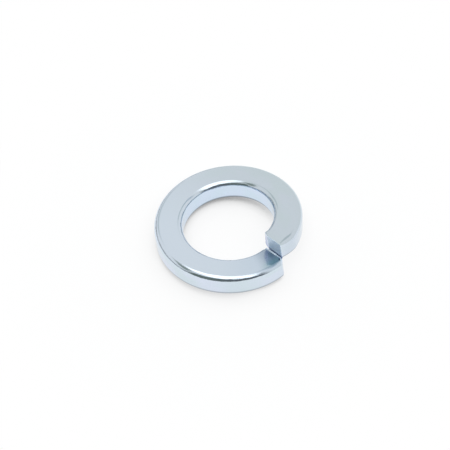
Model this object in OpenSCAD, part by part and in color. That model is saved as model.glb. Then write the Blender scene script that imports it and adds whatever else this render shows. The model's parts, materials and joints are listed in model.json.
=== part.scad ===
// Spring lock washer: one turn of heavy rounded-section wire, wound as a left-hand helix and sheared apart.
// The frame is the washer's own: +Z is the bore axis and Z = 0 is the level of the lowest point.

/* [Bore] */
// Thread diameter of the screw that the washer goes on
thread_d = 20; // [16:1:30]
// Width of the bore beyond the thread diameter
bore_clearance = 0.6; // [0.2:0.1:1]

/* [Section] */
// Radial width of the wire section
section_w = 6.4; // [4:0.1:8]
// Thickness of the wire section along the bore axis
section_t = 5.4; // [3:0.1:7]
// Radius of the four long corners of the section
corner_r = 1.3; // [0.7:0.05:1.4]

/* [Spring] */
// Height from the low end's underside to the high end's top, with no load
free_height = 10.05; // [8:0.05:16]

/* [Split] */
// Direction of the split, anticlockwise from +X as seen from above
split_angle = -44; // [-180:1:180]
// Turn of the cut away from the radial line, so that the high end reaches further round at the rim
cut_skew = 4; // [-10:0.5:10]
// Lean of the cut away from the bore axis, so that the high end reaches further round at the top
cut_lean = 6; // [-10:0.5:10]
// Width of the shear gap between the two end faces
split_gap = 0.15; // [0.1:0.05:2]
// Rounding of the high end's upright edge at the bore, where the shear dragged the wire over
high_bore_roll = 1.5; // [0.3:0.1:2]
// Rounding of the high end's upright edge at the rim
high_rim_roll = 1.0; // [0.2:0.1:1.5]
// Rounding of the low end's upright edge at the bore
low_bore_roll = 0.2; // [0.1:0.1:1]
// Rounding of the low end's upright edge at the rim
low_rim_roll = 0.9; // [0.3:0.1:1.5]
// Rounding of the high end's top edge and the low end's under edge, where the shear's blades went in
flat_roll = 0.5; // [0.1:0.05:0.8]

/* [Smoothness] */
// Sections along the turn
turn_steps = 72; // [36:1:96]
// Straight steps in each rounded corner of the section
corner_steps = 6; // [3:1:8]
// Straight steps in the rounding of each end
end_steps = 6; // [4:1:7]

/* [Hidden] */
bore_d = thread_d + bore_clearance;
rim_d = bore_d + 2 * section_w;
mean_r = (bore_d + rim_d) / 4;
climb = free_height - section_t;
// With a leaning cut the two faces have to pass each other as the ends spring apart, so the wire is longer.
face_turn = (split_gap - climb * tan(cut_lean)) / mean_r * 180 / PI;
wound_turn = 360 - face_turn;
// The sweep stands proud of both walls, and the ring trims it back to true cylinders.
// They cross in the middle of the corner's second step, which keeps the edge of the wall smooth.
wall_trim = corner_r * (1 - cos(1.5 * 90 / corner_steps));
ring_overlap = 1;
// Share of the corner radius that is lost at the end faces
corner_shrink = 0.4;
// Steps from an end face in which its top or under edge is rounded
flat_steps = 3;

// Outline of the section: a rectangle w by t with four round corners, in radial and axial coordinates.
function section_outline(w, t, r) = [
    for (corner = [0 : 3], step = [0 : corner_steps])
        let (
            a = 90 * (corner + step / corner_steps),
            side_x = (corner == 0 || corner == 3) ? 1 : -1,
            side_z = corner < 2 ? 1 : -1
        )
        [side_x * (w / 2 - r) + r * cos(a), side_z * (t / 2 - r) + r * sin(a)]
];

// What a rounded upright edge takes off the wire's side at a distance from the end face.
function side_inset(roll, distance) =
    (roll + wall_trim) * (1 - sqrt(1 - pow(max(0, 1 - distance / roll), 2)));

// Stations of one end as [angle wound from its face, inset at the rim, at the bore, and at its one rounded flat].
function end_stations(rim_roll, bore_roll) = [
    for (i = [0 : end_steps])
        let (distance = max(rim_roll, bore_roll) * (1 - cos(90 * i / end_steps)))
        [
            distance / mean_r * 180 / PI,
            side_inset(rim_roll, distance),
            side_inset(bore_roll, distance),
            flat_roll * (1 - sin(min(90, 90 * i / flat_steps)))
        ]
];
low_end = end_stations(low_rim_roll, low_bore_roll);
high_end = end_stations(high_rim_roll, high_bore_roll);

// The whole wire, wound from the low end's face to the high end's, with the insets of underside and top apart.
low_turn = low_end[end_steps][0];
mid_turn = wound_turn - low_turn - high_end[end_steps][0];
stations = concat(
    [for (s = low_end) [s[0], s[1], s[2], s[3], 0]],
    [for (i = [1 : turn_steps - 1]) [low_turn + i * mid_turn / turn_steps, 0, 0, 0, 0]],
    [for (i = [end_steps : -1 : 0]) let (s = high_end[i]) [wound_turn - s[0], s[1], s[2], 0, s[3]]]
);

// The helix has its lowest and highest places where the rounding of the flats ends.
helix_start = low_end[flat_steps][0];
helix_turn = wound_turn - helix_start - high_end[flat_steps][0];

// Points of one station: the outline set on a plane parallel to the cut, at the helix's height there.
function station_points(station) =
    let (
        around = split_angle - face_turn / 2 - station[0],
        height = section_t / 2 + climb * (station[0] - helix_start) / helix_turn,
        rim_inset = station[1],
        bore_inset = station[2],
        under_inset = station[3],
        top_inset = station[4],
        outline = section_outline(
            section_w + 2 * wall_trim - rim_inset - bore_inset,
            section_t - under_inset - top_inset,
            corner_r * (1 - corner_shrink * (under_inset + top_inset) / flat_roll)
        )
    )
    [
        for (p = outline)
            let (
                across = p[0] + (bore_inset - rim_inset) / 2,
                up = p[1] + (under_inset - top_inset) / 2,
                forward = up * tan(cut_lean)
            )
            [
                mean_r * cos(around) + across * cos(around - cut_skew) + forward * sin(around - cut_skew),
                mean_r * sin(around) + across * sin(around - cut_skew) - forward * cos(around - cut_skew),
                height + up
            ]
    ];

// One turn of wire, swept along the helix and closed by a flat face at each end.
module wound_wire() {
    per_station = 4 * (corner_steps + 1);
    last = len(stations) - 1;
    side_faces = [
        for (s = [0 : last - 1], k = [0 : per_station - 1])
            let (
                a = s * per_station + k,
                b = s * per_station + (k + 1) % per_station,
                c = b + per_station,
                d = a + per_station
            )
            each [[a, b, c], [a, c, d]]
    ];
    low_face = [for (k = [per_station - 1 : -1 : 0]) k];
    high_face = [for (k = [0 : per_station - 1]) last * per_station + k];
    polyhedron(
        points = [for (station = stations) each station_points(station)],
        faces = concat(side_faces, [low_face, high_face]),
        convexity = 6
    );
}

// Ring between the bore wall and the rim, tall enough to hold the whole helix.
module ring_space() {
    translate([0, 0, -ring_overlap])
        difference() {
            cylinder(d = rim_d, h = free_height + 2 * ring_overlap, $fn = 180);
            translate([0, 0, -ring_overlap])
                cylinder(d = bore_d, h = free_height + 4 * ring_overlap, $fn = 180);
        }
}

module spring_washer() {
    color("lightsteelblue")
        intersection() {
            ring_space();
            wound_wire();
        }
}

spring_washer();
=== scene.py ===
"""Spring lock washer: the plated washer, its pale table, soft studio light and camera."""
import json
import math

import bmesh
import bpy
import numpy as np
from mathutils import Matrix, Vector


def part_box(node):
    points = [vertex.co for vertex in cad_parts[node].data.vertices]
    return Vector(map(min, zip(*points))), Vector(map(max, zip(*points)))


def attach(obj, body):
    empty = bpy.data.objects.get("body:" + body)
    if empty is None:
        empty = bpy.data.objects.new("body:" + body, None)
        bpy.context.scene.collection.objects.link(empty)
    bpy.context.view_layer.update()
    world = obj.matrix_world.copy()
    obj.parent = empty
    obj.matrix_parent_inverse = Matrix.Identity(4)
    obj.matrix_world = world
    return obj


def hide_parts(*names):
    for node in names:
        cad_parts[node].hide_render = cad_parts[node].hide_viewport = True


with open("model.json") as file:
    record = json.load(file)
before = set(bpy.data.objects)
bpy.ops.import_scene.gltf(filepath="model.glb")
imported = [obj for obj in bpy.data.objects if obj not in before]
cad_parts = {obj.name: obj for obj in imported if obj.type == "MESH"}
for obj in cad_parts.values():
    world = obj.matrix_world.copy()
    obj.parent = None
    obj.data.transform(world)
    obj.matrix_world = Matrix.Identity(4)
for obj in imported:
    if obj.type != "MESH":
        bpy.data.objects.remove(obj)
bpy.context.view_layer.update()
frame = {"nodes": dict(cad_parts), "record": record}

MM = 0.001
TAU = 2 * math.pi

# Sizes of the washer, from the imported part
WASHER = "spring_washer"
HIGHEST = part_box(WASHER)[1]
BORE = next(m for m in frame["record"]["mounts"] if m["name"] == "bore")
RIM_R = HIGHEST.x
BORE_R = BORE["dims"]["r_mm"] * MM
MEAN_R = (RIM_R + BORE_R) / 2
SECTION_W = RIM_R - BORE_R
FREE_HEIGHT = HIGHEST.z

# Sizes that the part's source also names. The low end's upright edge at the bore is rounder here.
SECTION_T = 5.4 * MM
CORNER_R = 1.3 * MM
SPLIT_ANGLE = math.radians(-44)
CUT_SKEW = math.radians(4)
CUT_LEAN = math.radians(6)
SPLIT_GAP = 0.15 * MM
HIGH_BORE_ROLL = 1.5 * MM
HIGH_RIM_ROLL = 1.0 * MM
LOW_BORE_ROLL = 0.5 * MM
LOW_RIM_ROLL = 0.9 * MM
FLAT_ROLL = 0.5 * MM
CORNER_SHRINK = 0.4
CLIMB = FREE_HEIGHT - SECTION_T
CENTRE = Vector((0, 0, FREE_HEIGHT / 2))

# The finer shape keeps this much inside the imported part's box
BOX_MARGIN = 0.004 * MM

# Finer marks of the shear: the lip where a blade came out, how little of it is left at the rim, how straight
# and how long the rolled edges are, the gentle draw-in of the rim before the high end, and the crisp corners
# and top edge there
BURR_HEIGHT = 0.18 * MM
BURR_LENGTH = 0.42 * MM
BURR_LOSS_AT_RIM = 0.7
BURR_LOSS_POWER = 6.0
ROLL_STRAIGHTNESS = 1.3
HIGH_ROLL_LENGTH = 1.0 * MM
HIGH_RIM_LENGTH = 3.6 * MM
UNDER_ROLL_SHARE = 0.55
CRISP_LENGTH = 2.6 * MM
CRISP_SHARE = 0.8
TOP_ROLL_SHARE = 0.12

# Camera, fitted to the outlines in the photograph. Pixels are those of the 450 by 450 picture.
PICTURE_SIDE = 450
CAMERA_ELEVATION = math.radians(47.13)
CAMERA_AZIMUTH = math.radians(0.3)
CAMERA_ROLL = math.radians(-4.59)
CAMERA_DISTANCE = 20 * RIM_R
PIXELS_PER_RIM_R = 74.3
WASHER_CENTRE_PIXEL = (228.5, 226.25)
SENSOR_WIDTH = 36
CLIP_START = 0.01
CLIP_END = 10

# Places of a colour Mix node's sockets, because the node uses each of their names more than once
MIX_FIRST = 6
MIX_SECOND = 7
MIX_RESULT = 2


class Sock:
    """An output of a node that can be used in sums. Each operator adds one Math node to its tree."""

    def __init__(self, tree, socket):
        self.tree = tree
        self.socket = socket

    def math(self, operation, *others):
        return add(self.tree, "ShaderNodeMath", {"operation": operation}, dict(enumerate((self, *others))))

    def reflected(self, operation, other):
        return add(self.tree, "ShaderNodeMath", {"operation": operation}, {0: other, 1: self})

    def __add__(self, other):
        return self.math("ADD", other)

    def __radd__(self, other):
        return self.reflected("ADD", other)

    def __sub__(self, other):
        return self.math("SUBTRACT", other)

    def __rsub__(self, other):
        return self.reflected("SUBTRACT", other)

    def __mul__(self, other):
        return self.math("MULTIPLY", other)

    def __rmul__(self, other):
        return self.reflected("MULTIPLY", other)

    def __truediv__(self, other):
        return self.math("DIVIDE", other)

    def __neg__(self):
        return self.math("MULTIPLY", -1.0)

    def clamped(self):
        return self.math("MINIMUM", 1.0).math("MAXIMUM", 0.0)

    def ramp(self, low, high):
        """0 below low and 1 above high, with a smooth step between them. low may be the greater."""
        t = ((self - low) / (high - low)).clamped()
        return t * t * (3 - 2 * t)

    def mixed(self, other, share):
        """This value where share is 0 and the other one where it is 1."""
        return self + (other - self) * share

    def out(self, name):
        return Sock(self.tree, self.socket.node.outputs[name])


def add(tree, kind, settings=None, values=None, out=0):
    """Adds a node of a kind, with its settings first and then the values or links of its sockets."""
    node = tree.nodes.new(kind)
    for name, value in (settings or {}).items():
        setattr(node, name, value)
    for name, value in (values or {}).items():
        if isinstance(value, Sock):
            tree.links.new(value.socket, node.inputs[name])
        else:
            node.inputs[name].default_value = value
    return Sock(tree, node.outputs[out]) if node.outputs else node


def mixed(factor, first, second):
    """Colour between two colours. A colour is a link or a tuple of red, green and blue."""
    colours = [c if isinstance(c, Sock) else (*c, 1) for c in (first, second)]
    values = {0: factor, MIX_FIRST: colours[0], MIX_SECOND: colours[1]}
    return add(factor.tree, "ShaderNodeMix", {"data_type": "RGBA"}, values, MIX_RESULT)


def tinted(mask, colour, tint):
    """Lays a tint over a colour. A tint is red, green and blue, and its share where the mask is 1."""
    return mixed(mask * tint[3], colour, tint[:3])


def vector(tree, x, y, z):
    return add(tree, "ShaderNodeCombineXYZ", None, {"X": x, "Y": y, "Z": z})


def separated(tree, value):
    """X, Y and Z of a vector."""
    parts = add(tree, "ShaderNodeSeparateXYZ", None, {0: value})
    return parts.out("X"), parts.out("Y"), parts.out("Z")


def distance_from_axis(x, y):
    return (x * x + y * y).math("SQRT")


# Washer

WASHER_INPUTS = {
    "Mean radius": MEAN_R - BOX_MARGIN,
    "Section width": SECTION_W,
    "Section thickness": SECTION_T,
    "Corner radius": CORNER_R,
    "Corner shrink": CORNER_SHRINK,
    "Climb": CLIMB - BOX_MARGIN,
    "Split angle": SPLIT_ANGLE,
    "Split gap": SPLIT_GAP,
    "Cut skew": CUT_SKEW,
    "Cut lean": CUT_LEAN,
    "High bore roll": HIGH_BORE_ROLL,
    "High rim roll": HIGH_RIM_ROLL,
    "Low bore roll": LOW_BORE_ROLL,
    "Low rim roll": LOW_RIM_ROLL,
    "Flat roll": FLAT_ROLL,
    "Burr height": BURR_HEIGHT,
    "Burr length": BURR_LENGTH,
    "High roll length": HIGH_ROLL_LENGTH,
    "High rim length": HIGH_RIM_LENGTH,
    "Under roll share": UNDER_ROLL_SHARE,
    "Roll straightness": ROLL_STRAIGHTNESS,
    "Crisp length": CRISP_LENGTH,
    "Crisp share": CRISP_SHARE,
    "Top roll share": TOP_ROLL_SHARE,
    "Turn steps": 300,
    "Corner steps": 10,
    "Flat steps": 8,
    "Roll steps": 12,
    "Face steps": 8,
}
END_CROWDING = 0.9
WELD_DISTANCE = 0.001 * MM


def wound_washer_tree(material):
    """Geometry nodes for one turn of rounded wire on a helix, with sheared and burred ends.

    A flat grid is the unrolled skin: X runs along the wire over both end faces, Y runs round the section.
    """
    tree = bpy.data.node_groups.new("wound_washer", "GeometryNodeTree")
    for name, value in WASHER_INPUTS.items():
        kind = "NodeSocketInt" if isinstance(value, int) else "NodeSocketFloat"
        tree.interface.new_socket(name=name, in_out="INPUT", socket_type=kind)
    tree.interface.new_socket(name="Geometry", in_out="OUTPUT", socket_type="NodeSocketGeometry")
    given = tree.nodes.new("NodeGroupInput")
    size = {name: Sock(tree, given.outputs[name]) for name in WASHER_INPUTS}
    mean_r = size["Mean radius"]
    corner_steps = size["Corner steps"]
    roll_steps = size["Roll steps"]
    face_steps = size["Face steps"]
    flat_roll = size["Flat roll"]

    side_steps = corner_steps + size["Flat steps"]
    last_ring = size["Turn steps"] + 2 * (roll_steps + face_steps)
    last_point = 4 * side_steps
    grid = add(tree, "GeometryNodeMeshGrid", None, {
        "Size X": 1.0, "Size Y": 1.0, "Vertices X": last_ring + 1, "Vertices Y": last_point + 1,
    })
    grid_x, grid_y, _ = separated(tree, add(tree, "GeometryNodeInputPosition"))
    ring = ((grid_x + 0.5) * last_ring).math("ROUND")
    point = ((grid_y + 0.5) * last_point).math("ROUND")

    # Round the section: four corner arcs, each followed by a flat whose steps crowd at its ends
    corner = ((point + 0.5) / side_steps).math("FLOOR")
    step = point - corner * side_steps
    turned = (corner + (step / corner_steps).clamped()) * (TAU / 4)
    flat = (1 - (((step - corner_steps) / size["Flat steps"]).clamped() * math.pi).math("COSINE")) / 2
    here, following = (corner + 0.5) * (TAU / 4), (corner + 1.5) * (TAU / 4)

    def side_of(function):
        """-1 on one side of the section, 1 on the other, and between them along a flat."""
        return here.math(function).mixed(following.math(function), flat) * math.sqrt(2)

    outward, upward = side_of("COSINE"), side_of("SINE")
    at_rim, at_bore = (1 + outward) / 2, (1 - outward) / 2
    at_top, at_underside = (1 + upward) / 2, (1 - upward) / 2

    def left(distance, length):
        """1 at the end face, falling evenly to 0 where a rolled edge ends."""
        return (1 - distance / length).math("MAXIMUM", 0.0)

    def end(rings_in, longest):
        """Share of the way out over the end face, crowded at its edge, and distance from the face."""
        to_edge = 1 - (rings_in / face_steps).clamped()
        quarter = ((rings_in - face_steps) / roll_steps).clamped() * (TAU / 4)
        return 1 - to_edge * to_edge * to_edge, longest * (1 - quarter.math("COSINE"))

    # Along the wire: flat end faces, rounded edges, and the turn with its steps crowded towards both ends
    low_end, high_end = size["Low rim roll"], size["High bore roll"]
    low_face, low_run = end(ring, low_end)
    high_face, high_run = end(last_ring - ring, high_end)
    face = low_face.math("MINIMUM", high_face)
    slope = size["Cut lean"].math("TANGENT")
    overlap = size["Climb"] * slope - size["Split gap"]
    wire_length = mean_r * TAU + overlap
    share = ((ring - roll_steps - face_steps) / size["Turn steps"]).clamped()
    share = share - (share * TAU).math("SINE") * (END_CROWDING / TAU)
    along = low_run + share * (wire_length - low_end - high_end) + high_end - high_run

    to_high = wire_length - along
    straight = size["Roll straightness"]
    high_roll = left(to_high, size["High roll length"] * size["Under roll share"].mixed(1.0, at_top))
    high_roll = high_roll.math("POWER", straight)
    high_rim = left(to_high, size["High rim length"]).math("POWER", straight)
    low_roll = left(along, size["Low rim roll"]).math("POWER", straight)
    rim_inset = low_roll * size["Low rim roll"] + high_rim * size["High rim roll"]
    bore_inset = low_roll * size["Low bore roll"] + high_roll * size["High bore roll"]
    low_flat, high_flat = left(along, flat_roll), left(to_high, flat_roll)
    shrink = (low_flat * low_flat + high_flat * high_flat) * size["Corner shrink"]
    low_flat = flat_roll * low_flat * low_flat
    high_flat = flat_roll * high_flat * high_flat * size["Top roll share"]

    def burr(distance, on_side, reach):
        return left(distance, size["Burr length"]) * on_side * reach * reach * size["Burr height"]

    crisp = left(to_high, size["Crisp length"])
    crisp = crisp * crisp * at_top * size["Crisp share"]
    corner_r = size["Corner radius"] * (1 - shrink) * (1 - crisp)
    across = outward * (size["Section width"] / 2 - corner_r) + turned.math("COSINE") * corner_r
    across = face * (across - rim_inset * at_rim + bore_inset * at_bore)
    upright = upward * (size["Section thickness"] / 2 - corner_r) + turned.math("SINE") * corner_r
    upright = face * (upright - high_flat * at_top + low_flat * at_underside)
    lip_share = 1 - at_rim.math("POWER", BURR_LOSS_POWER) * BURR_LOSS_AT_RIM
    lifted = burr(along, at_top, low_face) * lip_share - burr(to_high, at_underside, high_face)
    rise = size["Climb"] * (along - flat_roll) / (wire_length - 2 * flat_roll)
    height = size["Section thickness"] / 2 + rise + lifted + upright
    forward = (upright + lifted) * slope
    around = size["Split angle"] - (along - overlap / 2) / mean_r
    cut = around - size["Cut skew"]
    x = mean_r * around.math("COSINE") + across * cut.math("COSINE") + forward * cut.math("SINE")
    y = mean_r * around.math("SINE") + across * cut.math("SINE") - forward * cut.math("COSINE")
    skin = add(tree, "GeometryNodeSetPosition", None, {
        "Geometry": grid, "Position": vector(tree, x, y, height),
    })
    closed = add(tree, "GeometryNodeMergeByDistance", None, {"Geometry": skin, "Distance": WELD_DISTANCE})
    smooth = add(tree, "GeometryNodeSetShadeSmooth", None, {"Geometry": closed})
    real = add(tree, "GeometryNodeRealizeInstances", None, {"Geometry": smooth})
    plated = add(tree, "GeometryNodeSetMaterial", None, {"Geometry": real, "Material": material})
    add(tree, "NodeGroupOutput", None, {"Geometry": plated})
    return tree


def made_mesh(name, tree, values):
    """Evaluates a geometry tree with its inputs and returns an object that holds the plain mesh."""
    seed = bpy.data.objects.new(name + "_seed", bpy.data.meshes.new(name + "_seed"))
    bpy.context.scene.collection.objects.link(seed)
    nodes = seed.modifiers.new("shape", "NODES")
    nodes.node_group = tree
    for item in tree.interface.items_tree:
        if item.in_out == "INPUT":
            nodes[item.identifier] = values[item.name]
    evaluated = seed.evaluated_get(bpy.context.evaluated_depsgraph_get())
    mesh = bpy.data.meshes.new_from_object(evaluated)
    mesh.name = name
    bpy.data.objects.remove(seed)
    piece = bpy.data.objects.new(name, mesh)
    bpy.context.scene.collection.objects.link(piece)
    return piece


def face_outwards(mesh):
    shell = bmesh.new()
    shell.from_mesh(mesh)
    bmesh.ops.recalc_face_normals(shell, faces=shell.faces)
    shell.to_mesh(mesh)
    shell.free()


def plated_washer():
    tree = wound_washer_tree(zinc_plate())
    washer = made_mesh("plated_washer", tree, WASHER_INPUTS)
    face_outwards(washer.data)
    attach(washer, "root")
    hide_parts(WASHER)


# Finish

# Colours, as linear red, green and blue. A tint also has its share where it is strongest.
ZINC = (0.645, 0.745, 0.80)
ZINC_BLUER = (0.685, 0.75, 0.86)
CLOUD_TINT = (0.62, 0.71, 0.78, 0.4)
TOP_TINT = (0.61, 0.70, 0.75, 0.5)
LOW_HALF_TINT = (0.72, 0.81, 0.92, 0.85)
BORE_TINT = (0.64, 0.77, 0.93, 0.5)
# Painted shade: the rim wall before the high end is made darker, standing in for the shaded table it mirrors
FAR_WALL_PAINTED_SHADE = (0.53, 0.60, 0.68, 0.4)
# Painted shade: the lower corner is made darker, darkest on the bore side, standing in for the dark gap
# under the washer that it mirrors
CORNER_SHADE_OUTSIDE = (0.30, 0.33, 0.37)
CORNER_SHADE_INSIDE = (0.13, 0.15, 0.18)
CORNER_SHADE_SHARE = 0.8
# Painted shade: the high end's rolled edge at the bore is made darker and bluer than its reflection of the
# table
BORE_ROLL_PAINTED_SHADE = (0.43, 0.50, 0.69, 1.0)
LOW_END_TINT = (0.54, 0.66, 0.80, 0.4)
# Painted reflection: beside the low end the top is made darker, slate-blue by the lip and teal towards the
# rim, where it mirrors the high end's sheared face
REFLECTED_FACE_INSIDE = (0.42, 0.51, 0.62)
REFLECTED_FACE_OUTSIDE = (0.30, 0.46, 0.51)
REFLECTED_FACE_BY_LIP_TINT = (0.18, 0.26, 0.33, 0.8)
REFLECTED_FACE_SHARE = 0.7
REFLECTED_FACE_CLOUDING = 0.5
# Painted highlight: the burred lip beside the low end is lighter and bluer than the plate
LIP_HIGHLIGHT = (0.72, 0.84, 1.0)
CUT = (0.60, 0.75, 0.97)
CUT_BRIGHT = (0.74, 0.88, 1.0)
# Painted shade: a sheared face is darker and bluer low down and towards the rim
CUT_LOW_OUTSIDE_SHADE = (0.52, 0.60, 0.92, 0.6)
# Painted shade at a sheared face's foot beside the low end's top, laid in streaks like the wire's last break
CUT_BREAK_AND_SHADE = (0.18, 0.25, 0.42)

# Where one finish or painted mark passes into the next: the places where the change starts and ends
SHEARED = (SPLIT_GAP / 2 + 0.12 * MM, SPLIT_GAP / 2 + 0.03 * MM)
ON_TOP = (0.8 * SECTION_T, 0.95 * SECTION_T)
BELOW_TOP = (0.95 * SECTION_T, 0.8 * SECTION_T)
LOW_HALF = (60 * MM, 30 * MM)
BORE_WALL = (BORE_R + 0.4 * MM, BORE_R + 0.1 * MM)
RIM_WALL = (RIM_R - 1.2 * MM, RIM_R - 0.5 * MM)
FAR_STRETCH = (24 * MM, 6 * MM)
SHADED_UNDER_CORNER = (1.45 * MM, 0.85 * MM)
INNER_HALF = (MEAN_R, MEAN_R - 1 * MM)
BORE_ROLL_SHADE_STRETCH = (1.3 * MM, 0.9 * MM)
BORE_ROLL_SHADE_BORE = (BORE_R + 1.7 * MM, BORE_R + 1.3 * MM)
NEAR_LOW_END = (15 * MM, 3 * MM)
REFLECTED_FACE_STRETCH = (5.6 * MM, 1.8 * MM)
REFLECTED_FACE_RIM = (RIM_R - 0.5 * MM, RIM_R - 1.3 * MM)
REFLECTED_FACE_OUTWARD = (MEAN_R + 0.2 * MM, MEAN_R + 1.6 * MM)
LIP_REFLECTION_STRETCH = (2.2 * MM, 1.1 * MM)
LIP_REFLECTION_RIM = (RIM_R - 1.6 * MM, MEAN_R)
LIP_REFLECTION_BORE = (BORE_R + 0.5 * MM, MEAN_R)
LIP_STRETCH = (BURR_LENGTH, 0.8 * BURR_LENGTH)
CORNER_ACROSS = (SECTION_W / 2 - CORNER_R, (SECTION_W - CORNER_R) / 2)
CORNER_UPRIGHT = (SECTION_T / 2 - CORNER_R, (SECTION_T - CORNER_R) / 2)
BREAK_AND_SHADE = (1.6 * MM, 1.1 * MM)

# Patterns, in waves per metre, and the levels between which each one changes the finish
DRAWN_ALONG = 110
DRAWN_ACROSS = 1900
CLOUDS = 210
CLOUD_CHANGE = (0.3, 0.75)
TINT_ALONG = 160
TINT_ACROSS = 300
TINT_CHANGE = (0.35, 0.65)
GRAINS = 4200
TEARS_ACROSS = 6500
TEARS_UPRIGHT = 900
TEAR_STREAKS = (0.3, 0.7)
BREAK_STREAKS = (0.2, 0.6)
DENTS = 900
DENT_SIZE = (0.22, 0.02)

# Roughness of clean zinc, and what each mark adds to it
BRIGHT_ROUGHNESS = 0.05
CLOUD_ROUGHNESS = 0.05
DRAWN_ROUGHNESS = 0.04
CUT_ROUGHNESS = 0.2
REFLECTED_FACE_ROUGHNESS = 0.1

# How much of its metallic look a sheared face loses
CUT_DULLNESS = 0.68

# What each mark adds to the relief, in shares of its height
DRAWN_RELIEF = 0.3
CORNER_RELIEF = 5.0
GRAIN_RELIEF = 0.2
DENT_RELIEF = 0.4
TEAR_RELIEF = 2.0
RELIEF_HEIGHT = 0.02 * MM
RELIEF_STRENGTH = 0.5


def noise(tree, coordinates, scale, detail=2.0, roughness=0.5):
    return add(tree, "ShaderNodeTexNoise", None, {
        "Vector": coordinates, "Scale": scale, "Detail": detail, "Roughness": roughness,
    })


def wire_coordinates(tree, spot):
    """Distance along the wire from its low end, radius, and height above the wire's own helix."""
    x, y, z = separated(tree, spot)
    radius = distance_from_axis(x, y)
    skewed = (radius - MEAN_R) / radius * math.tan(CUT_SKEW)
    leaning = (z - FREE_HEIGHT / 2) / MEAN_R * math.tan(CUT_LEAN)
    turn = ((SPLIT_ANGLE - y.math("ARCTAN2", x) - skewed - leaning) / TAU + 1).math("FRACT")
    return turn * (TAU * MEAN_R), radius, z - turn * CLIMB


def plate_colour(along, radius, height, sheared, cloud, tint):
    """Colour of the plated skin, with its painted shade, the painted reflection and lip highlight beside the
    low end, and where that reflection lies.
    """
    to_high = TAU * MEAN_R - along
    on_top = height.ramp(*ON_TOP)
    plate = mixed(tint.ramp(*TINT_CHANGE), ZINC, ZINC_BLUER)
    plate = tinted(cloud.ramp(*CLOUD_CHANGE), plate, CLOUD_TINT)
    plate = tinted(on_top, plate, TOP_TINT)
    plate = tinted(on_top * along.ramp(*LOW_HALF), plate, LOW_HALF_TINT)
    plate = tinted(radius.ramp(*BORE_WALL), plate, BORE_TINT)
    # Painted shade on the rim wall before the high end
    shaded_far_wall = to_high.ramp(*FAR_STRETCH) * radius.ramp(*RIM_WALL) * (1 - on_top)
    plate = tinted(shaded_far_wall, plate, FAR_WALL_PAINTED_SHADE)
    # Painted shade along the lower corner, darker on the bore side
    under = mixed(radius.ramp(*INNER_HALF), CORNER_SHADE_OUTSIDE, CORNER_SHADE_INSIDE)
    plate = mixed(height.ramp(*SHADED_UNDER_CORNER) * CORNER_SHADE_SHARE, plate, under)
    # Painted shade on the high end's rolled edge at the bore
    shaded_bore_roll = to_high.ramp(*BORE_ROLL_SHADE_STRETCH) * radius.ramp(*BORE_ROLL_SHADE_BORE) * height.ramp(*BELOW_TOP)
    plate = tinted(shaded_bore_roll, plate, BORE_ROLL_PAINTED_SHADE)
    plate = tinted(on_top * along.ramp(*NEAR_LOW_END), plate, LOW_END_TINT)

    # Painted dark reflection of the high end's sheared face on the low end's top, which is also rougher
    # there
    reflection_spot = along.ramp(*REFLECTED_FACE_STRETCH) * on_top * radius.ramp(*REFLECTED_FACE_RIM)
    reflected_face = mixed(radius.ramp(*REFLECTED_FACE_OUTWARD), REFLECTED_FACE_INSIDE, REFLECTED_FACE_OUTSIDE)
    by_lip = along.ramp(*LIP_REFLECTION_STRETCH) * radius.ramp(*LIP_REFLECTION_RIM) * radius.ramp(*LIP_REFLECTION_BORE)
    reflected_face = tinted(by_lip, reflected_face, REFLECTED_FACE_BY_LIP_TINT)
    plate = mixed(reflection_spot * (REFLECTED_FACE_SHARE + REFLECTED_FACE_CLOUDING * cloud), plate, reflected_face)
    # Painted highlight along the burred lip
    lip_highlight = along.ramp(*LIP_STRETCH) * on_top * (1 - sheared)
    return mixed(lip_highlight, plate, LIP_HIGHLIGHT), reflection_spot


def cut_colour(radius, height, torn):
    """Colour of a sheared face, streaked by the blade, with painted shade low down and towards the rim, and
    darker streaks at its foot as painted shade beside the low end's top, laid like the wire's last break.
    """
    cut = mixed(torn.ramp(*TEAR_STREAKS), CUT, CUT_BRIGHT)
    # Painted shade low down and towards the rim
    cut = tinted(radius.ramp(MEAN_R, RIM_R) * height.ramp(SECTION_T, 0), cut, CUT_LOW_OUTSIDE_SHADE)
    return mixed(height.ramp(*BREAK_AND_SHADE) * torn.ramp(*BREAK_STREAKS), cut, CUT_BREAK_AND_SHADE)


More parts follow.
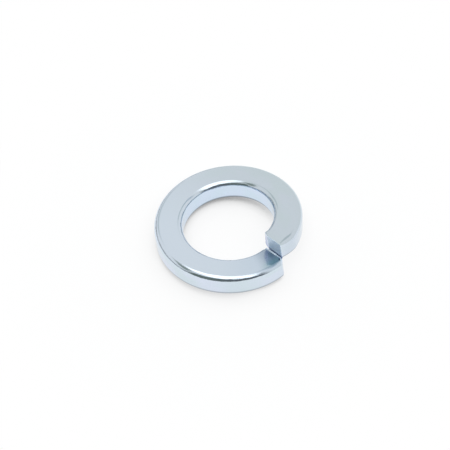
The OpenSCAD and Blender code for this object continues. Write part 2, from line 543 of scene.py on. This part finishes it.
def zinc_plate():
    """Bright blue-white zinc plate over drawn wire, duller and bluer on the two sheared faces."""
    material = bpy.data.materials.new("zinc_plate")
    material.use_nodes = True
    tree = material.node_tree
    tree.nodes.clear()
    spot = add(tree, "ShaderNodeTexCoord").out("Object")
    along, radius, height = wire_coordinates(tree, spot)
    sheared = along.math("MINIMUM", TAU * MEAN_R - along).ramp(*SHEARED)

    drawn_spot = vector(tree, along * DRAWN_ALONG, radius * DRAWN_ACROSS, height * DRAWN_ACROSS)
    drawn = noise(tree, drawn_spot, 1.0, detail=4.0, roughness=0.6)
    cloud = noise(tree, spot, CLOUDS, detail=3.0)
    tint_spot = vector(tree, along * TINT_ALONG, radius * TINT_ACROSS, height * TINT_ACROSS)
    tint = noise(tree, tint_spot, 1.0)
    grain = noise(tree, spot, GRAINS)
    torn_spot = vector(tree, radius * TEARS_ACROSS, 0, height * TEARS_UPRIGHT)
    torn = noise(tree, torn_spot, 1.0, detail=4.0)
    dents = add(tree, "ShaderNodeTexVoronoi", {"feature": "F1"}, {
        "Vector": spot, "Scale": DENTS, "Randomness": 1.0,
    })
    dent = dents.out("Distance").ramp(*DENT_SIZE)
    corner = (radius - MEAN_R).math("ABSOLUTE").ramp(*CORNER_ACROSS)
    corner = corner * (height - SECTION_T / 2).math("ABSOLUTE").ramp(*CORNER_UPRIGHT)

    plate, reflection_spot = plate_colour(along, radius, height, sheared, cloud, tint)
    roughness = BRIGHT_ROUGHNESS + CLOUD_ROUGHNESS * cloud + DRAWN_ROUGHNESS * drawn
    roughness = roughness + CUT_ROUGHNESS * sheared + REFLECTED_FACE_ROUGHNESS * reflection_spot
    relief = drawn * (DRAWN_RELIEF + CORNER_RELIEF * corner) + grain * GRAIN_RELIEF
    relief = relief - dent * DENT_RELIEF + sheared * torn * TEAR_RELIEF
    bump = add(tree, "ShaderNodeBump", None, {
        "Strength": RELIEF_STRENGTH, "Distance": RELIEF_HEIGHT, "Height": relief,
    })
    shader = add(tree, "ShaderNodeBsdfPrincipled", None, {
        "Base Color": mixed(sheared, plate, cut_colour(radius, height, torn)),
        "Metallic": 1 - CUT_DULLNESS * sheared,
        "Roughness": roughness,
        "Normal": bump,
    })
    add(tree, "ShaderNodeOutputMaterial", None, {"Surface": shader})
    return material


# Table, light and camera

TABLE_HALF = 150 * MM
TABLE_COLOUR = (0.93, 0.935, 0.95)
TABLE_CLEAR = (32 * MM, 60 * MM)
HULL_DECIMALS = 7
SHADOW_SHARE = 0.2
PAPER_LEVEL = 0.8
WHITE = (1, 1, 1)

# Shade painted into the table's glow: close to the metal, over a wider reach, round the ring's foot, and
# deep under the ring.
# Each one fades between two shares of open sky over the spot.
SKY_SAMPLES = 8
CONTACT_REACH = 1.4 * MM
CONTACT_SKY = (0.62, 0.15)
CONTACT_SHADE = 0.5
CONTACT_SHADE_LEFT = 0.15
WIDE_REACH = 5 * MM
WIDE_SHADE = 0.08
FOOT_SKY = (0.6, 0.38)
FOOT_SHADE = 0.36
FOOT_OUTSIDE = 0.04
FOOT_IN_WELL = 0.45
FOOT_IN_WELL_RIGHT = 0.35
FOOT_LEFT = 0.5
UNDER_SKY = (0.38, 0.27)
UNDER_SHADE = 0.46
UNDER_OUTSIDE_SHARE = 0.1
WELL = (RIM_R - 3 * MM, BORE_R)
RIGHT_OF_FOOT = (-0.6 * RIM_R, 0.2 * RIM_R)
RIGHT_UNDER_RING = (-0.25 * RIM_R, 0.5 * RIM_R)

# Studio colours
LIGHT_BOX = (1.62, 1.62, 1.60)
ROOM = (0.84, 0.84, 0.83)
HORIZON_LEFT = (0.22, 0.23, 0.24)
HORIZON_RIGHT = (0.80, 0.81, 0.80)
DARK_LEFT = (0.16, 0.19, 0.17)
DARK_RIGHT = (0.14, 0.15, 0.16)
BEAM = (0.46, 0.52, 0.57)
LEFT_BEAM_TINT = (0.20, 0.24, 0.21, 0.85)
RAIL_TINT = (0.42, 0.48, 0.48, 0.6)

# Panels on a ceiling one unit up. Each side is a row: its weights on the distance across to the right and on
# the distance along from the camera, and the values of that sum between which the panel fades in.
LIGHT_BOX_SIDES = (
    (1, -0.7, -0.52, -0.38),
    (1, 0, -0.46, -0.36),
    (1, 0.38, -0.52, -0.42),
    (1, 0.6, 0.34, 0.24),
    (0, 1, 0.50, 0.42),
    (0.3, 1, -1.0, -0.9),
)
BEAM_SIDES = ((1, 1, 0.55, 0.66), (1, 1, 0.90, 0.78), (1, 0, 0.2, 0.3), (0, 1, -0.35, -0.1))
LEFT_BEAM_SIDES = ((-0.76, 1, 0.09, 0.33), (-0.76, 1, 0.81, 0.57), (1, 0, -0.42, -0.55), (1, 0, -1.9, -1.4))

# Two grey rails beyond the light box. Their edges count the distance across to either side.
RAIL_EDGES = ((1, 0, 0.18, 0.3), (1, 0, 0.75, 0.6))
RAIL_ENDS = ((0.4, 1, 0.46, 0.6), (0.6, 1, 1.14, 0.94))

# Keeps the ceiling's distances finite at the horizon
LEAST_DIVISOR = 0.02

# The dark side behind the camera: its left and right edges round the horizon, its front, and its top
DARK_FROM = (-0.88, -0.78)
DARK_TO = (0.85, 0.65)
DARK_FRONT = (0.0, -0.1)
DARK_TOP = (0.79, 0.71)
DARK_COLOUR_CHANGE = (-0.6, 0.2)
HORIZON_CHANGE = (-0.6, 0.4)
HORIZON_TOP = (0.05, 0.38)


def resting_plane(node):
    """Centre of mass, and the normal and distance of the hull's nearest face that looks down."""
    shell = bmesh.new()
    shell.from_mesh(node.data)
    bmesh.ops.triangulate(shell, faces=shell.faces)
    corners = np.array([[v.co[:] for v in face.verts] for face in shell.faces])
    shell.free()
    parts = np.einsum("ij,ij->i", corners[:, 0], np.cross(corners[:, 1], corners[:, 2]))
    middle = Vector((corners.sum(1) * parts[:, None]).sum(0) / (4 * parts.sum()))
    hull = bmesh.new()
    for place in np.unique(corners.reshape(-1, 3).round(HULL_DECIMALS), axis=0):
        hull.verts.new(place)
    bmesh.ops.convex_hull(hull, input=hull.verts)
    hull.normal_update()
    down = min(
        (face for face in hull.faces if face.normal.z < 0 and face.calc_area() > 0),
        key=lambda face: face.normal.dot(face.verts[0].co - middle),
    )
    normal = -down.normal.copy()
    height = normal.dot(middle - down.verts[0].co)
    hull.free()
    return middle, normal, height


def open_sky(tree, reach):
    """Share of the directions over a spot that nothing blocks within a reach."""
    return add(tree, "ShaderNodeAmbientOcclusion", {"samples": SKY_SAMPLES}, {"Distance": reach}).out("AO")


def unshaded_share(tree, x, y):
    """What the washer's shade leaves of the table's glow."""
    well = distance_from_axis(x, y).ramp(*WELL)
    leftward = (-x / RIM_R).clamped() * (1 - well)
    close = open_sky(tree, CONTACT_REACH)
    wide = open_sky(tree, WIDE_REACH)
    contact = (CONTACT_SHADE + CONTACT_SHADE_LEFT * leftward) * close.ramp(*CONTACT_SKY)
    in_well = well * (FOOT_IN_WELL + FOOT_IN_WELL_RIGHT * x.ramp(*RIGHT_OF_FOOT))
    foot = FOOT_SHADE * (FOOT_OUTSIDE + in_well + FOOT_LEFT * leftward) * wide.ramp(*FOOT_SKY)
    right_in_well = well * x.ramp(*RIGHT_UNDER_RING)
    under = UNDER_SHADE * (UNDER_OUTSIDE_SHARE + right_in_well) * wide.ramp(*UNDER_SKY)
    return (1 - contact) * (1 - WIDE_SHADE * (1 - wide) - foot - under)


def pale_paper():
    """Pale paper that mostly glows, with the washer's shade painted into its glow over a little real shadow,
    and plain white away from the washer.
    """
    material = bpy.data.materials.new("pale_paper")
    material.use_nodes = True
    tree = material.node_tree
    tree.nodes.clear()
    x, y, _ = separated(tree, add(tree, "ShaderNodeTexCoord").out("Object"))
    away = distance_from_axis(x, y).ramp(*TABLE_CLEAR)
    ray = add(tree, "ShaderNodeLightPath")
    seen = ray.out("Is Camera Ray").math("MAXIMUM", ray.out("Is Glossy Ray"))
    dull = [level * SHADOW_SHARE for level in TABLE_COLOUR]
    paper = add(tree, "ShaderNodeBsdfDiffuse", None, {"Color": (*dull, 1)})
    fill = (1 - SHADOW_SHARE * PAPER_LEVEL) * unshaded_share(tree, x, y)
    glow = add(tree, "ShaderNodeEmission", None, {"Color": (*WHITE, 1), "Strength": fill})
    near = add(tree, "ShaderNodeAddShader", None, {0: paper, 1: glow})
    white = add(tree, "ShaderNodeEmission", None, {"Color": (*WHITE, 1), "Strength": 1.0})
    surface = add(tree, "ShaderNodeMixShader", None, {0: away * seen, 1: near, 2: white})
    add(tree, "ShaderNodeOutputMaterial", None, {"Surface": surface})
    return material


def pale_table():
    """A flat table on the plane that the washer rests on."""
    middle, normal, height = resting_plane(frame["nodes"][WASHER])
    mesh = bpy.data.meshes.new("pale_table")
    side = TABLE_HALF
    corners = [(-side, -side, 0), (side, -side, 0), (side, side, 0), (-side, side, 0)]
    mesh.from_pydata(corners, [], [(0, 1, 2, 3)])
    mesh.materials.append(pale_paper())
    table = bpy.data.objects.new("pale_table", mesh)
    level = normal.to_track_quat("Z", "Y").to_matrix().to_4x4()
    table.matrix_world = Matrix.Translation(middle - normal * height) @ level
    bpy.context.scene.collection.objects.link(table)


def panel(across, along, sides):
    """1 inside all the sides of a panel on the ceiling, and 0 outside."""
    edges = [(across * by_across + along * by_along).ramp(*fade) for by_across, by_along, *fade in sides]
    return math.prod(edges[1:], start=edges[0])


def studio_surroundings():
    """Pale room, a light box overhead, a dark side behind the camera, and plain white for the camera."""
    world = bpy.data.worlds.new("studio")
    bpy.context.scene.world = world
    world.use_nodes = True
    tree = world.node_tree
    tree.nodes.clear()
    right, back, up = separated(tree, add(tree, "ShaderNodeTexCoord").out("Generated"))

    # Where a direction meets the ceiling
    level = up.math("MAXIMUM", LEAST_DIVISOR)
    across, along = right / level, back / level
    rails = panel(across.math("ABSOLUTE"), along, RAIL_EDGES) * panel(across, along, RAIL_ENDS)

    # Where a direction lies round the horizon, with 0 straight behind the camera and 1 on the right
    side = right / distance_from_axis(right, back).math("MAXIMUM", LEAST_DIVISOR)
    dark = side.ramp(*DARK_FROM) * side.ramp(*DARK_TO) * back.ramp(*DARK_FRONT) * up.ramp(*DARK_TOP)

    horizon = mixed(side.ramp(*HORIZON_CHANGE), HORIZON_LEFT, HORIZON_RIGHT)
    room = mixed(up.ramp(*HORIZON_TOP), horizon, ROOM)
    room = mixed(dark, room, mixed(side.ramp(*DARK_COLOUR_CHANGE), DARK_LEFT, DARK_RIGHT))
    room = tinted(rails, room, RAIL_TINT)
    room = mixed(panel(across, along, BEAM_SIDES), room, BEAM)
    room = tinted(panel(across, along, LEFT_BEAM_SIDES), room, LEFT_BEAM_TINT)
    room = mixed(panel(across, along, LIGHT_BOX_SIDES), room, LIGHT_BOX)
    ray = add(tree, "ShaderNodeLightPath")
    shown = mixed(ray.out("Is Camera Ray"), room, WHITE)
    background = add(tree, "ShaderNodeBackground", None, {"Color": shown})
    add(tree, "ShaderNodeOutputWorld", None, {"Surface": background})


def photo_camera():
    """Looks at the washer from the photograph's angle, with its middle at the photograph's pixel."""
    lens = bpy.data.cameras.new("camera")
    pixels = PIXELS_PER_RIM_R * CAMERA_DISTANCE / RIM_R
    lens.sensor_width = SENSOR_WIDTH
    lens.lens = SENSOR_WIDTH * pixels / PICTURE_SIDE
    lens.clip_start = CLIP_START
    lens.clip_end = CLIP_END
    camera = bpy.data.objects.new("camera", lens)
    level = Vector((math.cos(CAMERA_AZIMUTH), math.sin(CAMERA_AZIMUTH), 0))
    front = Vector((math.sin(CAMERA_AZIMUTH), -math.cos(CAMERA_AZIMUTH), 0))
    back = front * math.cos(CAMERA_ELEVATION) + Vector((0, 0, math.sin(CAMERA_ELEVATION)))
    upright = back.cross(level)
    right = level * math.cos(CAMERA_ROLL) + upright * math.sin(CAMERA_ROLL)
    up = upright * math.cos(CAMERA_ROLL) - level * math.sin(CAMERA_ROLL)
    across = (WASHER_CENTRE_PIXEL[0] - PICTURE_SIDE / 2) / PIXELS_PER_RIM_R * RIM_R
    down = (WASHER_CENTRE_PIXEL[1] - PICTURE_SIDE / 2) / PIXELS_PER_RIM_R * RIM_R
    place = CENTRE + back * CAMERA_DISTANCE - right * across + up * down
    camera.matrix_world = Matrix.Translation(place) @ Matrix((right, up, back)).transposed().to_4x4()
    bpy.context.scene.collection.objects.link(camera)
    bpy.context.scene.camera = camera


photo_camera()
plated_washer()
pale_table()
studio_surroundings()
bpy.context.scene.view_settings.view_transform = "Standard"

bpy.context.view_layer.update()
